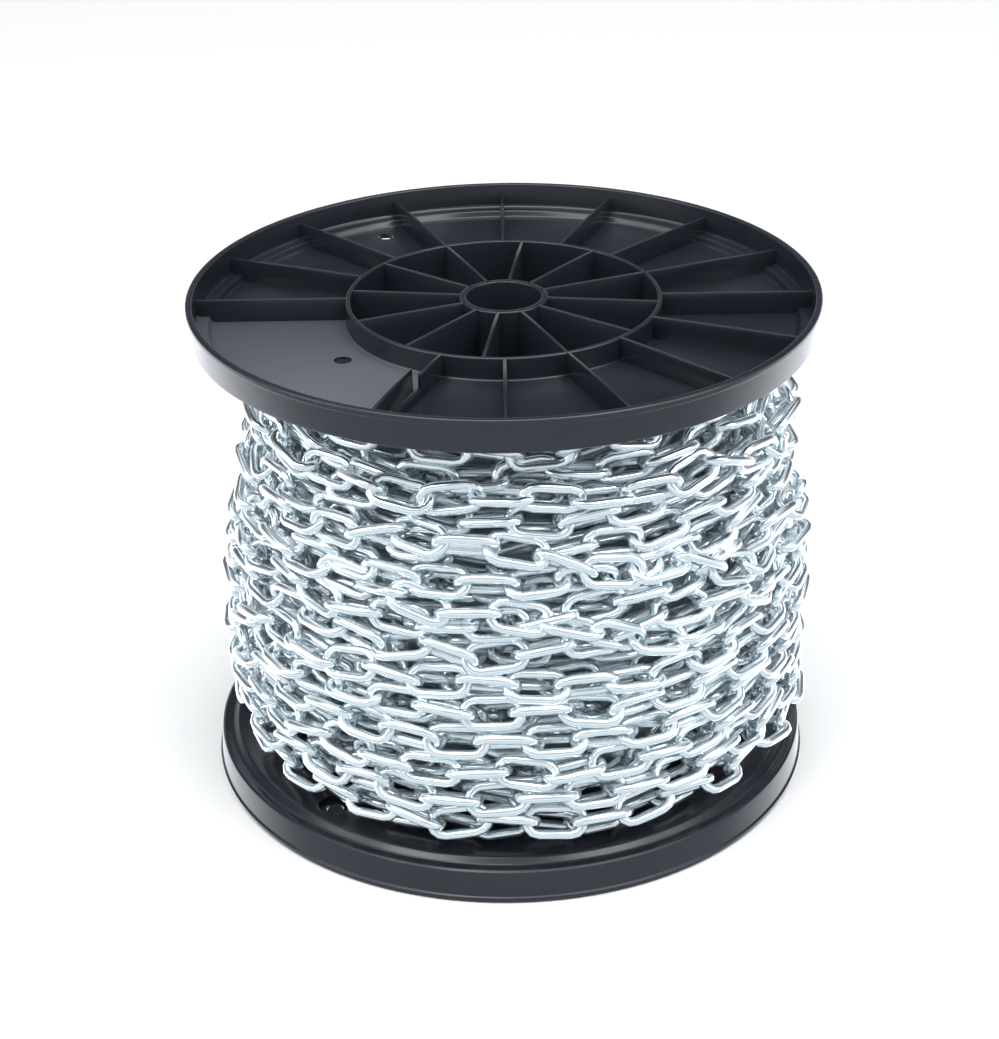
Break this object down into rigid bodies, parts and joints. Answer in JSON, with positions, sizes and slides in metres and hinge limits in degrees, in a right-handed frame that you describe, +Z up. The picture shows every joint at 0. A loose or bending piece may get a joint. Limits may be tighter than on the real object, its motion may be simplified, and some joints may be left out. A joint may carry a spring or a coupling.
{
  "type": "reel of steel chain",
  "caption": "Flanged plastic reel, ribbed on its outer faces, wound full with zinc-plated short-link steel chain, standing on its lower flange; holds chain stock for cutting to length",
  "frame": {"origin": "centre of the lower flange's lip, on the plane the reel stands on", "axes": "+Z up along the reel axis from the lower flange to the upper; +Y away from the viewer and +X to the right when the blank sector of the upper flange is at the near left"},
  "size_m": [0.21, 0.21, 0.173],
  "materials": {
    "reel_plastic": "black moulded plastic with a soft sheen",
    "zinc_chain": "bright zinc-plated steel"
  },
  "bodies": {
    "root": {"upper_reel_half": "reel_plastic", "lower_reel_half": "reel_plastic", "wound_chain": "zinc_chain"}
  },
  "joints": []
}
